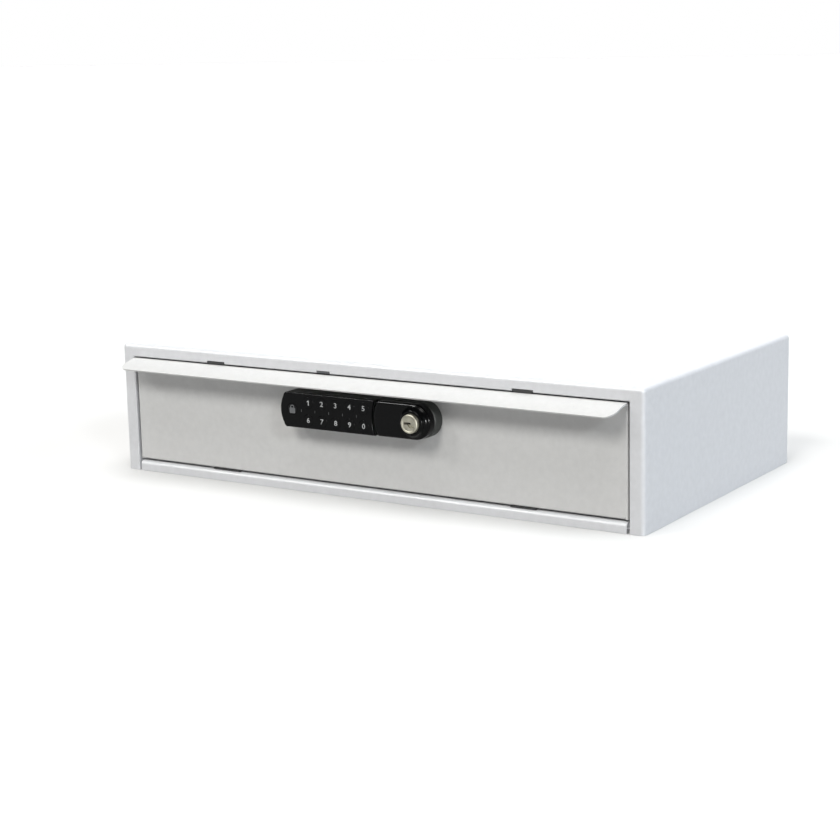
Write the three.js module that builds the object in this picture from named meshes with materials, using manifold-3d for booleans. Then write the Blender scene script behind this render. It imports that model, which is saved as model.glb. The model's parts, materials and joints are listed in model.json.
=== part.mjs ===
// Lockable medication drawer unit: a sheet-steel cabinet with one drawer on telescopic slides,
// closed by a keypad cam lock. Millimetres, +Z up, +X to the right, the front faces -Y.
// The origin is the centre of the bounding box's underside.

import * as THREE from 'three';
import { mergeVertices } from 'three/addons/utils/BufferGeometryUtils.js';
import Module from 'manifold-3d';

const wasm = await Module();
wasm.setup();

// ---- driving dimensions ----

const width = 457;
const depth = 254;
const height = 102;
const reach = 22.5; // how far the key plug stands in front of the cabinet's front plane
const gap = 0.3; // left between pieces that touch
const sheet = 1.2; // cabinet and drawer-front steel
const traySheet = 1;
const bend = 3.5; // outer radius of the folded edges

const front = -(depth - reach) / 2; // y of the posts' front plane
const back = front + depth;
const halfWidth = width / 2;
const innerHalf = halfWidth - sheet; // inside face of a side wall
const innerTop = height - sheet;

const postWidth = 11.5;
const openHalf = halfWidth - postWidth;
const railLow = 91.7; // lower edge of the top rail
const foldDepth = 12; // how far the folded returns run back
const baseRailTop = 8;
const baseRailHalf = openHalf - 2;
const baseRailBend = 2.6;
const baseRailRearBend = 0.8;
const baseFlange = 12;
const backRecess = 3; // the back panel sits this far inside the rear edges
const overlap = 0.2; // how far solids reach into each other before they are joined
const past = 1; // how far a cutter runs past what it cuts
const tab = 16; // ears for the back panel
const tabLow = 18;
const tabHighDrop = 8;
const tabHole = 1.9;
const backHole = 2.2;
const mountSpan = 100; // hole pattern in the base, both ways
const mountHole = 2.75;

const notchX = 135; // bumpers, left and right of centre
const notchWidth = 17;
const notchHeight = 2;
const catchX = -34;
const catchWidth = 12;

const frontHalf = openHalf - 2;
const frontLow = 9.5;
const frontHigh = 90.2;
const frontInset = 1.5;
const lowReturn = 9; // depth of the fold along the drawer front's lower edge
const returnDrop = 4; // the side folds stop this far under the top
const frontScrewX = [-170, -60, 60, 170];
const frontScrewZ = 27;
const lipReach = 20;
const lipDrop = 6.7;
const lipCorner = 11;
const lipCrown = { y: front - 8, upperDrop: 1.6, lowerDrop: 2.8 }; // where the lip's curve is pulled to
const lipRootDrop = 3;
const lipEdge = 0.6; // half the height of the lip's front edge
const panelY = front + frontInset;
const panelBack = panelY + sheet;

const slideLength = 228.6;
const slideY = front + 14.5;
const slideZ = 40;
const slideHigh = 35;
const slideWide = 12.7;
const slideFace = openHalf - gap; // outer face of the slides
// Slide members, measured from the outer face towards the drawer.
const outerMember = { reach: 9.4, thick: 1.2 };
const middleMember = { web: 4.4, reach: 11, thick: 1, half: 14, backLip: 1.9, lead: 2, tail: 6 };
const innerMember = { reach: 7, thick: 1, half: 10.5, lead: 1, tail: 4 };
const bracketRim = 4;
const trayHalf = slideFace - slideWide - gap;
const trayLow = 12;
const trayHigh = 74;
const trayFrontHigh = 44;
const trayY = panelBack + gap;
const trayBack = front + 238;
const dividerY = front + 126;
const dividerX = 68;
const dividerHigh = 62;
const dividerFoot = 10;
const trayEar = 14;

const pivotX = 55; // the lever's axis
const lockZ = 65.8;
const lockHalf = 13.1; // half the lock's height
const lockLeft = -62.8;
const lockLeftRadius = 21;
const baseRound = 13.4;
const footDepth = 8; // the lock's back plate, out from the front plane
const bodyDepth = 13.5;
const faceDepth = 15.3;
const leverArc = 35.2; // reach of the lever's free end from its axis
const leverEndRound = 24;
const keypadArc = leverArc + 1.2;
const hubDepth = 19.8;
const hubRadius = 11.6;
const hubNose = 9.6;
const plugRadius = 7;
const plugBore = plugRadius + 0.4;
const plugBoreEnd = 11;
const keyway = { half: 4.2, z: [-1.1, 0.7], deep: 8 };
const leverGap = 0.4; // clearance behind the lever
const spindleRadius = 5;
const spindleBack = 34;
const lockScrewX = [-53, 27];
const lockScrewHole = 2.4;

const lensX = -52;
const lensZ = lockZ + 0.6;
const lensRadius = 4.3;
const lensSeat = 14.3;
const keyPitch = 12.3;
const keyFirstX = -37.6;
const keyRows = [72.1, 59];
const keyRadius = 4.2;
const keyProud = 0.5;
const pocketX = [-45, 17.6]; // the hollow behind the keypad cover
const pocketHalf = 12;
const pocketFloor = front - 8.4;
const keyLabels = [['1', '2', '3', '4', '5'], ['6', '7', '8', '9', '0']];

const cableX = -13.6; // the lead from the keypad passes through here
const caseX = [-62, 36];
const caseWall = 1.6;
const caseZ = [50, 84];
const caseBack = front + 26;
const camY = front + 28.1;
const camThick = 2.5;
const camReach = 29.5;
const camHalf = 6;
const camRound = 9;
const camCorner = 3;
const bush = { flange: 12, flangeThick: 2, barrel: 8.5 };
const strike = { half: 20, top: 1.5, y: [14.4, 25.6], wall: 2, low: 89, slotHalf: 9, slotY: [17, 21] };
const cell = { x: [-58, -7.5], radius: 7.1, nubRadius: 2.7, y: 16.5, spread: 7.6, rise: 1.5 };
const motor = { x: 14, radius: 7.5, y: [9, 23] };
const bumperReach = 9;
const catchReach = 13.4;
const screwHead = { edge: 1.1, shoulder: 2, top: 2.2, crossHalf: 0.4, crossReach: 2, crossFloor: 1 };

// ---- materials ----

function finish(color, roughness, metalness) {
  return new THREE.MeshStandardMaterial({ color, roughness, metalness });
}

const coat = () => finish(0xd5dbe4, 0.55, 0.1);
const frontCoat = () => finish(0xc8c8c6, 0.55, 0.1);
const trayCoat = () => finish(0xd2d6da, 0.6, 0.1);
const zinc = () => finish(0xa9adb0, 0.4, 0.9);
const rubber = () => finish(0x17181a, 0.85, 0);
const glossBlack = () => finish(0x0b0c0d, 0.28, 0);
const mattBlack = () => finish(0x1a1b1c, 0.65, 0);
const nickel = () => finish(0x96948a, 0.35, 0.9);
const acrylic = () => finish(0x2a2c2f, 0.15, 0);

// ---- solids and booleans ----

function solidOf(geometry) {
  const bare = geometry.clone();
  bare.deleteAttribute('normal');
  bare.deleteAttribute('uv');
  const merged = mergeVertices(bare, 1e-4);
  const mesh = new wasm.Mesh({
    numProp: 3,
    vertProperties: new Float32Array(merged.attributes.position.array),
    triVerts: new Uint32Array(merged.index.array),
  });
  return new wasm.Manifold(mesh);
}

function geometryOf(solid) {
  const mesh = solid.getMesh();
  const geometry = new THREE.BufferGeometry();
  geometry.setAttribute('position', new THREE.BufferAttribute(mesh.vertProperties, 3));
  geometry.setIndex(new THREE.BufferAttribute(mesh.triVerts, 1));
  geometry.computeVertexNormals();
  return geometry;
}

function box(x, y, z) {
  const geometry = new THREE.BoxGeometry(x[1] - x[0], y[1] - y[0], z[1] - z[0]);
  geometry.translate((x[0] + x[1]) / 2, (y[0] + y[1]) / 2, (z[0] + z[1]) / 2);
  return solidOf(geometry);
}

function extruded(shape, thickness, curveSegments) {
  return new THREE.ExtrudeGeometry(shape, { depth: thickness, curveSegments, bevelEnabled: false });
}

// A shape drawn in X and Z, pushed from y[1] towards y[0].
function alongY(shape, y, curveSegments = 8) {
  const geometry = extruded(shape, y[1] - y[0], curveSegments);
  geometry.rotateX(Math.PI / 2);
  geometry.translate(0, y[1], 0);
  return solidOf(geometry);
}

// A shape drawn in Y and Z, pushed from x[0] to x[1].
function alongX(shape, x, curveSegments = 8) {
  const geometry = extruded(shape, x[1] - x[0], curveSegments);
  const turn = new THREE.Matrix4().set(0, 0, 1, x[0], 1, 0, 0, 0, 0, 1, 0, 0, 0, 0, 0, 1);
  geometry.applyMatrix4(turn);
  return solidOf(geometry);
}

// A shape drawn in X and Y, pushed from z[0] to z[1].
function alongZ(shape, z, curveSegments = 8) {
  const geometry = extruded(shape, z[1] - z[0], curveSegments);
  geometry.translate(0, 0, z[0]);
  return solidOf(geometry);
}

// A rod along Y, round or, with few sides, a polygon.
function rod(x, z, radius, y, sides = 24) {
  const geometry = new THREE.CylinderGeometry(radius, radius, y[1] - y[0], sides);
  geometry.translate(0, (y[0] + y[1]) / 2, 0);
  geometry.translate(x, 0, z);
  return solidOf(geometry);
}

// A ring round the Y axis through (x, z), from a closed profile of [radius, y] points.
function turned(x, z, profile, sides = 32) {
  const points = profile.map(([radius, y]) => new THREE.Vector2(radius, y));
  const geometry = new THREE.LatheGeometry(points, sides);
  geometry.translate(x, 0, z);
  return solidOf(geometry);
}

function roundedRectangle(u, v, radii) {
  const [lowLeft, lowRight, highRight, highLeft] = radii;
  const quarter = Math.PI / 2;
  const shape = new THREE.Shape();
  shape.moveTo(u[0] + lowLeft, v[0]);
  shape.lineTo(u[1] - lowRight, v[0]);
  if (lowRight) shape.absarc(u[1] - lowRight, v[0] + lowRight, lowRight, -quarter, 0, false);
  shape.lineTo(u[1], v[1] - highRight);
  if (highRight) shape.absarc(u[1] - highRight, v[1] - highRight, highRight, 0, quarter, false);
  shape.lineTo(u[0] + highLeft, v[1]);
  if (highLeft) shape.absarc(u[0] + highLeft, v[1] - highLeft, highLeft, quarter, 2 * quarter, false);
  shape.lineTo(u[0], v[0] + lowLeft);
  if (lowLeft) shape.absarc(u[0] + lowLeft, v[0] + lowLeft, lowLeft, 2 * quarter, 3 * quarter, false);
  return shape;
}

function mirrored(solid) {
  return solid.mirror([1, 0, 0]);
}

function joined(solids) {
  return solids.reduce((sum, solid) => sum.add(solid));
}

// ---- the assembly ----

const unit = new THREE.Group();
unit.name = 'medication_drawer_unit';

function place(name, solid, material) {
  const mesh = new THREE.Mesh(geometryOf(solid), material);
  mesh.name = name;
  unit.add(mesh);
}

function placePair(name, leftSolid, material) {
  place(`${name}_left`, leftSolid, material());
  place(`${name}_right`, mirrored(leftSolid), material());
}

// ---- cabinet ----

// The wrap: top, both sides, the two posts and the top rail, folded from one sheet.
function cabinetShell() {
  const across = roundedRectangle([-halfWidth, halfWidth], [0, height], [0, 0, bend, bend]);
  const fromAbove = roundedRectangle([-halfWidth, halfWidth], [front, back], [bend, bend, 0, 0]);
  const fromSide = roundedRectangle([front, back], [0, height], [0, 0, 0, bend]);
  const blank = alongY(across, [front, back])
    .intersect(alongZ(fromAbove, [0, height]))
    .intersect(alongX(fromSide, [-halfWidth, halfWidth]));
  const insideBend = bend - sheet;
  const hollowAcross = roundedRectangle(
    [-innerHalf, innerHalf], [-past, innerTop], [0, 0, insideBend, insideBend]);
  const hollow = alongY(hollowAcross, [front + sheet, back + past], 4);
  const mouth = box([-openHalf, openHalf], [front - past, front + foldDepth], [-past, railLow]);
  const foldY = [front + overlap, front + foldDepth];
  const folds = [
    box([-openHalf - sheet, -openHalf], foldY, [0, railLow + sheet]),
    box([openHalf, openHalf + sheet], foldY, [0, railLow + sheet]),
    box([-openHalf - sheet, openHalf + sheet], foldY, [railLow, railLow + sheet]),
  ];
  const notchPlaces = [[-notchX, notchWidth], [notchX, notchWidth], [catchX, catchWidth]];
  const notches = notchPlaces.map(([x, wide]) => box(
    [x - wide / 2, x + wide / 2], [front - past, front + foldDepth + past],
    [railLow - past, railLow + notchHeight]));
  const shell = joined([blank.subtract(hollow).subtract(mouth), ...folds, ...backTabs()]);
  return shell.subtract(joined(notches));
}

// Four ears inside the rear corners, which the back panel is screwed to.
function backTabs() {
  const y = [back - backRecess - sheet - gap - sheet, back - backRecess - sheet - gap];
  const rows = [[tabLow, tabLow + tab], [innerTop - tab - tabHighDrop, innerTop - tabHighDrop]];
  return [-1, 1].flatMap((side) => rows.map((z) => {
    const inner = side * (innerHalf - tab);
    const outer = side * (innerHalf + sheet / 2);
    const ear = box([Math.min(inner, outer), Math.max(inner, outer)], y, z);
    const x = side * (innerHalf - tab / 2);
    return ear.subtract(rod(x, (z[0] + z[1]) / 2, tabHole, [y[0] - past, y[1] + past], 16));
  }));
}

function backScrewPlaces() {
  const rows = [tabLow + tab / 2, innerTop - tabHighDrop - tab / 2];
  return [-1, 1].flatMap((side) => rows.map((z) => [side * (innerHalf - tab / 2), z]));
}

// The pan: floor, side flanges and the rolled rail under the drawer.
function cabinetBase() {
  const half = innerHalf - gap;
  const floor = box([-half, half], [front + foldDepth + gap, back - gap], [0, sheet]);
  const flangeY = [front + foldDepth + gap, back - backRecess - tabHighDrop];
  const flanges = [-1, 1].map((side) => box(
    [Math.min(side * half, side * (half - sheet)), Math.max(side * half, side * (half - sheet))],
    flangeY, [0, baseFlange]));
  const railShape = roundedRectangle([front, front + foldDepth], [0, baseRailTop],
    [0, 0, baseRailRearBend, baseRailBend]);
  const railHollow = roundedRectangle(
    [front + sheet, front + foldDepth - sheet], [-past, baseRailTop - sheet],
    [0, 0, 0, baseRailBend - sheet]);
  const rail = alongX(railShape, [-baseRailHalf, baseRailHalf], 4)
    .subtract(alongX(railHollow, [-baseRailHalf - past, baseRailHalf + past], 4));
  const bridge = box(
    [-baseRailHalf, baseRailHalf], [front + foldDepth - sheet / 2, front + foldDepth + 2], [0, sheet]);
  const pan = joined([floor, bridge, rail, ...flanges]);
  const middle = (front + back) / 2;
  const holes = [-1, 1].flatMap((sx) => [-1, 1].map((sy) => {
    const hole = new THREE.CylinderGeometry(mountHole, mountHole, 6, 24).rotateX(Math.PI / 2);
    hole.translate(sx * mountSpan / 2, middle + sy * mountSpan / 2, 0);
    return solidOf(hole);
  }));
  return pan.subtract(joined(holes));
}

function cabinetBack() {
  const half = innerHalf - gap;
  const y = [back - backRecess - sheet, back - backRecess];
  const panel = alongY(
    roundedRectangle([-half, half], [sheet + gap, innerTop - gap], [1, 1, 3, 3]), y, 3);
  const holes = backScrewPlaces().map(([x, z]) => rod(x, z, backHole, [y[0] - past, y[1] + past], 16));
  return panel.subtract(joined(holes));
}

// Pan-head screw along Y, head towards +Y at headY, shank pointing to -Y, with a cross recess.
function screwToBack(x, z, headY, length, headRadius = 3.6, shankRadius = 1.6) {
  const { edge, shoulder, top, crossHalf, crossReach, crossFloor } = screwHead;
  const head = turned(x, z, [
    [0, headY - 0.1], [headRadius, headY], [headRadius, headY + edge],
    [headRadius * 0.6, headY + shoulder], [0, headY + top]], 12);
  const shank = rod(x, z, shankRadius, [headY - length, headY + overlap], 8);
  const crossY = [headY + crossFloor, headY + top + past];
  const cross = joined([
    box([x - crossReach, x + crossReach], crossY, [z - crossHalf, z + crossHalf]),
    box([x - crossHalf, x + crossHalf], crossY, [z - crossReach, z + crossReach])]);
  return head.add(shank).subtract(cross);
}

// Hat-section spacer that carries a slide level with the edge of the opening.
function slideBracket() {
  const x = [-innerHalf + gap, -slideFace - gap];
  const y = [slideY, slideY + slideLength];
  const z = [slideZ - slideHigh / 2 - bracketRim, slideZ + slideHigh / 2 + bracketRim];
  const skin = box(x, y, z);
  const inside = box([x[0] - past, x[1] - sheet], [y[0] - past, y[1] + past],
    [z[0] + sheet, z[1] - sheet]);
  return skin.subtract(inside);
}

// ---- slides: outer, middle and inner members, left hand ----

function channel(xWeb, xLips, thick, y, halfHigh) {
  const low = Math.min(xWeb, xLips);
  const high = Math.max(xWeb, xLips);
  const skin = box([low, high], y, [slideZ - halfHigh, slideZ + halfHigh]);
  const openToRight = xLips > xWeb;
  const hollowX = openToRight ? [low + thick, high + past] : [low - past, high - thick];
  const hollow = box(hollowX, [y[0] - past, y[1] + past],
    [slideZ - halfHigh + thick, slideZ + halfHigh - thick]);
  return skin.subtract(hollow);
}

function slideOuter() {
  const { reach: across, thick } = outerMember;
  return channel(-slideFace, -slideFace + across, thick, [slideY, slideY + slideLength], slideHigh / 2);
}

function slideMiddle() {
  const { web, reach: across, thick, half, backLip, lead, tail } = middleMember;
  const y = [slideY + lead, slideY + slideLength - tail];
  const body = channel(-slideFace + web, -slideFace + across, thick, y, half);
  const lips = [-1, 1].map((side) => box(
    [-slideFace + backLip, -slideFace + web + thick / 2], y,
    side > 0 ? [slideZ + half - thick, slideZ + half] : [slideZ - half, slideZ - half + thick]));
  return joined([body, ...lips]);
}

function slideInner() {
  const { reach: across, thick, half, lead, tail } = innerMember;
  const y = [slideY + lead, slideY + slideLength - tail];
  return channel(-slideFace + slideWide, -slideFace + across, thick, y, half);
}

// ---- front frame details ----

function topBumper(x) {
  const half = notchWidth / 2 - gap;
  const outline = roundedRectangle([x - half, x + half], [railLow - 0.4, railLow + notchHeight - gap],
    [0.6, 0.6, 0.6, 0.6]);
  return alongY(outline, [front - 0.1, front + bumperReach], 2);
}

function baseBumper(x, half) {
  const z = [baseRailTop + gap, frontLow - gap];
  return box([x - half, x + half], [panelY + 0.1, panelY + lowReturn - 0.5], z);
}

function centreCatch() {
  const half = catchWidth / 2 - gap;
  const tongue = box([catchX - half, catchX + half], [front - 0.1, front + catchReach],
    [railLow + gap, railLow + notchHeight - gap]);
  const ear = box([catchX - half, catchX + half], [front + catchReach - 1, front + catchReach],
    [railLow + gap, innerTop - gap]);
  return tongue.add(ear);
}

// Angle under the top that the cam turns up behind.
function strikePlate() {
  const x = [pivotX - strike.half, pivotX + strike.half];
  const y = strike.y.map((value) => front + value);
  const top = box(x, y, [innerTop - gap - strike.top, innerTop - gap]);
  const wall = box(x, [y[1] - strike.wall, y[1]], [strike.low, innerTop - gap]);
  const slot = box([pivotX - strike.slotHalf, pivotX + strike.slotHalf],
    strike.slotY.map((value) => front + value), [innerTop - gap - strike.top - past, innerTop + past]);
  return top.add(wall).subtract(slot);
}

// ---- drawer ----

// One sheet: the panel, its folded side and lower returns, and the pull lip rolled out of its top.
function drawerFront() {
  const panel = box([-frontHalf, frontHalf], [panelY, panelBack], [frontLow, frontHigh - 1]);
  const sideZ = [frontLow, frontHigh - returnDrop];
  const returns = [
    box([-frontHalf, -frontHalf + sheet], [panelY, front + foldDepth], sideZ),
    box([frontHalf - sheet, frontHalf], [panelY, front + foldDepth], sideZ),
    box([-frontHalf, frontHalf], [panelY, panelY + lowReturn], [frontLow, frontLow + sheet]),
  ];
  const lipFront = front - lipReach;
  const lipLow = frontHigh - lipDrop;
  const section = new THREE.Shape();
  section.moveTo(panelBack, frontHigh - lipRootDrop);
  section.quadraticCurveTo(panelBack, frontHigh, panelBack - 2.6, frontHigh);
  section.quadraticCurveTo(lipCrown.y, frontHigh - lipCrown.upperDrop, lipFront, lipLow + lipEdge);
  section.lineTo(lipFront + 0.3, lipLow - lipEdge);
  section.quadraticCurveTo(lipCrown.y, frontHigh - lipCrown.lowerDrop, panelY, frontHigh - sheet);
  section.lineTo(panelY, frontHigh - lipRootDrop);
  const plan = roundedRectangle([-frontHalf, frontHalf], [lipFront - past, panelBack + past],
    [lipCorner, lipCorner, 0, 0]);
  const lip = alongX(section, [-frontHalf, frontHalf], 6)
    .intersect(alongZ(plan, [frontLow, frontHigh + past], 6));
  const through = [panelY - past, panelBack + past];
  const holes = [
    rod(pivotX, lockZ, spindleRadius + 1, through, 24),
    rod(cableX, lockZ, 4, through, 16),
    ...lockScrewX.map((x) => rod(x, lockZ, lockScrewHole, through, 16)),
    ...frontScrewX.map((x) => rod(x, frontScrewZ, 2.3, [panelY + 0.4, panelBack + past], 16)),
  ];
  return joined([panel, lip, ...returns]).subtract(joined(holes));
}

function drawerTray() {
  const outer = box([-trayHalf, trayHalf], [trayY, trayBack], [trayLow, trayHigh]);
  const inner = box([-trayHalf + traySheet, trayHalf - traySheet],
    [trayY + traySheet, trayBack - traySheet], [trayLow + traySheet, trayHigh + past]);
  const frontCut = box([-trayHalf + trayEar, trayHalf - trayEar], [trayY - past, trayY + traySheet + past],
    [trayFrontHigh, trayHigh + past]);
  const holes = frontScrewX.map((x) => rod(
    x, frontScrewZ, 2.3, [trayY - past, trayY + traySheet + past], 16));
  return outer.subtract(inner).subtract(frontCut).subtract(joined(holes));
}

function longDivider() {
  const half = trayHalf - traySheet - gap;
  return box([-half, half], [dividerY, dividerY + traySheet], [trayLow + traySheet + gap, dividerHigh]);
}

function shortDivider() {
  const y = [dividerY + traySheet + gap, trayBack - traySheet - gap];
  const z = [trayLow + traySheet + gap, dividerHigh];
  const wall = box([-dividerX, -dividerX + traySheet], y, z);
  const foot = box([-dividerX, -dividerX + dividerFoot], y, [z[0], z[0] + traySheet]);
  return wall.add(foot);
}

// ---- lock, outside the drawer front ----

// Outline of the keypad end, closed on the right by an arc round the lever's axis.
function keypadOutline(arcRadius) {
  const rise = lockHalf;
  const reachX = Math.sqrt(arcRadius ** 2 - rise ** 2);
  const arc = Math.asin(rise / arcRadius);
  const endCentre = lockLeft + lockLeftRadius;
  const corner = 3.2;
  const bow = Math.asin((rise - corner) / lockLeftRadius);
  const cornerX = endCentre - Math.cos(bow) * lockLeftRadius + corner * 0.9;
  const shape = new THREE.Shape();
  shape.moveTo(cornerX, lockZ - rise);
  shape.lineTo(pivotX - reachX, lockZ - rise);
  shape.absarc(pivotX, lockZ, arcRadius, Math.PI + arc, Math.PI - arc, true);
  shape.lineTo(cornerX, lockZ + rise);
  shape.quadraticCurveTo(cornerX - corner * 0.55, lockZ + rise,
    endCentre - Math.cos(bow) * lockLeftRadius, lockZ + rise - corner);
  shape.absarc(endCentre, lockZ, lockLeftRadius, Math.PI - bow, Math.PI + bow, false);
  shape.quadraticCurveTo(cornerX - corner * 0.55, lockZ - rise, cornerX, lockZ - rise);
  return shape;
}

function footOutline() {
  const low = lockZ - lockHalf;
  const high = lockZ + lockHalf;
  const lean = Math.asin(lockHalf / baseRound);
  const shape = new THREE.Shape();
  shape.moveTo(0, low);
  shape.lineTo(pivotX + Math.cos(lean) * baseRound, low);
  shape.absarc(pivotX, lockZ, baseRound, -lean, lean, false);
  shape.lineTo(0, high);
  return shape;
}

function keyPlaces() {
  return keyRows.flatMap((z, row) => keyLabels[row].map((label, column) => (
    { label, x: keyFirstX + keyPitch * column, z })));
}

function lockBase() {
  const foot = alongY(footOutline(), [front - footDepth, panelY - gap], 12);
  const keypad = alongY(keypadOutline(keypadArc), [front - bodyDepth, panelY - gap], 12);
  const pocket = box(pocketX, [front - bodyDepth - past, pocketFloor],
    [lockZ - pocketHalf, lockZ + pocketHalf]);
  const holes = [
    rod(pivotX, lockZ, spindleRadius + 0.4, [front - hubDepth, panelY + past], 24),
    rod(cableX, lockZ, 3, [pocketFloor - past, panelY + past], 16),
    ...lockScrewX.map((x) => rod(x, lockZ, lockScrewHole, [front - 5.4, panelY + past], 16)),
  ];
  return foot.add(keypad).subtract(pocket).subtract(joined(holes));
}

function keypadCover() {
  const plate = alongY(keypadOutline(keypadArc), [front - faceDepth, front - bodyDepth - gap], 12);
  const through = [front - faceDepth - past, front - bodyDepth + past];
  const holes = keyPlaces().map(({ x, z }) => rod(x, z, keyRadius + 0.35, through, 16));
  holes.push(rod(lensX, lensZ, lensRadius + gap, [through[0], front - lensSeat], 16));
  return plate.subtract(joined(holes));
}

function statusLens() {
  return rod(lensX, lensZ, lensRadius, [front - faceDepth, front - lensSeat - gap], 16);
}

function layerInPocket(y) {
  const half = pocketHalf - 0.5;
  return box([pocketX[0] + 0.5, pocketX[1] - 0.6], y, [lockZ - half, lockZ + half]);
}

function keyMat() {
  return layerInPocket([pocketFloor - 3.4, pocketFloor - 2.3]);
}

function circuitBoard() {
  return layerInPocket([pocketFloor - 2, pocketFloor - 0.4]);
}

function keyButton(x, z) {
  const face = front - faceDepth - keyProud;
  const shoulder = front - bodyDepth;
  return turned(x, z, [
    [0, face], [keyRadius - 0.5, face + 0.1], [keyRadius, face + 0.6], [keyRadius, shoulder],
    [keyRadius + 0.7, shoulder], [keyRadius + 0.7, shoulder + 0.6], [0, shoulder + 0.6]], 16);
}

// ---- lever, hub and plug ----

function turnLever() {
  const high = lockHalf - 0.1;
  const endX = pivotX - leverArc + leverEndRound;
  const arc = Math.asin(high / leverEndRound);
  const shape = new THREE.Shape();
  shape.moveTo(endX - Math.cos(arc) * leverEndRound, lockZ - high);
  shape.lineTo(pivotX, lockZ - high);
  shape.absarc(pivotX, lockZ, high, -Math.PI / 2, Math.PI / 2, false);
  shape.lineTo(endX - Math.cos(arc) * leverEndRound, lockZ + high);
  shape.absarc(endX, lockZ, leverEndRound, Math.PI - arc, Math.PI + arc, false);
  const slab = alongY(shape, [front - faceDepth, front - footDepth - leverGap], 12);
  return slab.subtract(rod(pivotX, lockZ, plugBore, [front - hubDepth, front - plugBoreEnd], 32));
}

function hubRing() {
  const rear = front - faceDepth - gap;
  const nose = front - hubDepth;
  return turned(pivotX, lockZ, [
    [plugBore, rear], [plugBore, nose], [hubNose, nose], [hubNose + 0.8, nose + 0.5],
    [hubRadius, rear - 0.6], [hubRadius, rear], [plugBore, rear]], 28);
}

function keyPlug() {
  const face = front - reach;
  const rear = front - plugBoreEnd - 0.4;
  const body = turned(pivotX, lockZ, [
    [0, face + 0.5], [plugRadius - 1.2, face + 0.5], [plugRadius - 1, face], [plugRadius - 0.4, face],
    [plugRadius, face + 0.4], [plugRadius, rear], [0, rear]], 24);
  const slot = box([pivotX - keyway.half, pivotX + keyway.half],
    [face - past, face + keyway.deep], [lockZ + keyway.z[0], lockZ + keyway.z[1]]);
  return body.subtract(slot);
}

function leverSpindle() {
  return rod(pivotX, lockZ, spindleRadius, [front - footDepth - 0.1, front + spindleBack], 24);
}

function spindleBush() {
  const inner = spindleRadius + 0.4;
  const seat = panelBack + gap;
  return turned(pivotX, lockZ, [
    [inner, seat], [bush.flange, seat], [bush.flange, seat + bush.flangeThick],
    [bush.barrel, seat + bush.flangeThick], [bush.barrel, camY - gap], [inner, camY - gap],
    [inner, seat]], 20);
}

function lockCam() {
  const lean = Math.asin(camHalf / camRound);
  const rootX = pivotX + Math.cos(lean) * camRound;
  const tipX = pivotX + camReach;
  const shape = new THREE.Shape();
  shape.moveTo(rootX, lockZ - camHalf);
  shape.lineTo(tipX - camCorner, lockZ - camHalf);
  shape.lineTo(tipX, lockZ - camHalf + camCorner);
  shape.lineTo(tipX, lockZ + camHalf - camCorner);
  shape.lineTo(tipX - camCorner, lockZ + camHalf);
  shape.lineTo(rootX, lockZ + camHalf);
  shape.absarc(pivotX, lockZ, camRound, lean, 2 * Math.PI - lean, false);
  const plate = alongY(shape, [camY, camY + camThick], 10);
  return plate.subtract(rod(pivotX, lockZ, spindleRadius + gap, [camY - past, camY + camThick + past], 24));
}

function camNut() {
  const y = [camY + camThick + gap, camY + camThick + 3.6];
  const hexagon = rod(pivotX, lockZ, camRound, y, 6);
  return hexagon.subtract(rod(pivotX, lockZ, spindleRadius + gap, [y[0] - past, y[1] + past], 24));
}

// ---- lock, inside the drawer front ----

function lockCase() {
  const y = [panelBack + gap, caseBack];
  const skin = alongY(roundedRectangle(caseX, caseZ, [3, 3, 3, 3]), y, 3);
  const inside = box([caseX[0] + caseWall, caseX[1] - caseWall], [y[0] + caseWall, y[1] + past],
    [caseZ[0] + caseWall, caseZ[1] - caseWall]);
  const through = [y[0] - past, y[0] + caseWall + past];
  const holes = lockScrewX.map((x) => rod(x, lockZ, lockScrewHole, through, 16));
  holes.push(rod(cableX, lockZ, 4, through, 16));
  return skin.subtract(inside).subtract(joined(holes));
}

function batteryCover() {
  const y = [caseBack + gap, caseBack + gap + caseWall];
  return alongY(roundedRectangle(caseX, caseZ, [3, 3, 3, 3]), y, 3);
}

function battery(side) {
  const long = cell.x[1] - cell.x[0];
  const can = new THREE.CylinderGeometry(cell.radius, cell.radius, long, 20);
  const nub = new THREE.CylinderGeometry(cell.nubRadius, cell.nubRadius, 2, 12);
  nub.translate(0, -long / 2 - 0.5, 0);
  const z = lockZ + cell.rise + side * cell.spread;
  return solidOf(can).add(solidOf(nub)).rotate([0, 0, 90])
    .translate([(cell.x[0] + cell.x[1]) / 2, front + cell.y, z]);
}

function lockMotor() {
  return rod(motor.x, lockZ, motor.radius, motor.y.map((value) => front + value), 20);
}

// ---- build ----

place('cabinet_shell', cabinetShell(), coat());
place('cabinet_base', cabinetBase(), coat());
place('cabinet_back', cabinetBack(), coat());
backScrewPlaces().forEach(([x, z], index) => {
  place(`back_screw_${index + 1}`, screwToBack(x, z, back - backRecess + gap, 8, 3.4, 1.5), zinc());
});
placePair('slide_bracket', slideBracket(), zinc);
placePair('slide_outer', slideOuter(), zinc);
placePair('slide_middle', slideMiddle(), zinc);
placePair('slide_inner', slideInner(), zinc);
placePair('top_bumper', topBumper(-notchX), rubber);
place('base_bumper_left', baseBumper(-130, 13), rubber());
place('base_bumper_right', baseBumper(133.5, 10.5), rubber());
place('centre_catch', centreCatch(), zinc());
place('strike_plate', strikePlate(), zinc());

place('drawer_front', drawerFront(), frontCoat());
place('drawer_tray', drawerTray(), trayCoat());
frontScrewX.forEach((x, index) => {
  const headY = trayY + traySheet + gap;
  place(`front_screw_${index + 1}`, screwToBack(x, frontScrewZ, headY, 2.2), zinc());
});
place('divider_long', longDivider(), trayCoat());
placePair('divider_short', shortDivider(), trayCoat);

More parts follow.
